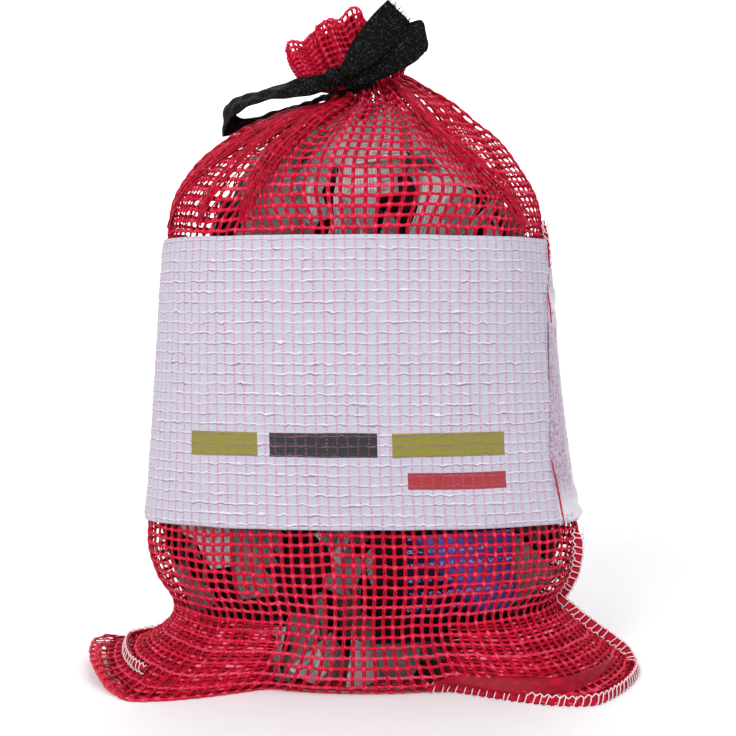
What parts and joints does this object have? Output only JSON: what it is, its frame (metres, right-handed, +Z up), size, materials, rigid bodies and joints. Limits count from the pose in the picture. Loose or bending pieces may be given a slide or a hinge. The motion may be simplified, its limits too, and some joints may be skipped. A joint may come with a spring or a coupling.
{
  "type": "stuffed net sack",
  "caption": "Small open-mesh red net sack stuffed with crumpled printed paper, standing on its base, with a plain white label band round it and a black ribbon tied round its neck.",
  "frame": {"origin": "on the flat base, below the neck of the sack, at the middle of its width", "axes": "+Z up from the base to the neck, -Y towards the front of the sack, +X to the right as seen from the front"},
  "size_m": [0.2976, 0.155, 0.3494],
  "materials": {
    "net": "satin plastic thread, open leno weave",
    "label": "satin film pressed on to the net",
    "ribbon": "woven ribbon, slightly shiny",
    "newsprint": "matt newsprint, crumpled",
    "overlock": "white overlock sewing thread"
  },
  "bodies": {
    "root": {"net_sack": "net", "label_band": "label", "tie_ribbon": "ribbon"}
  },
  "joints": []
}
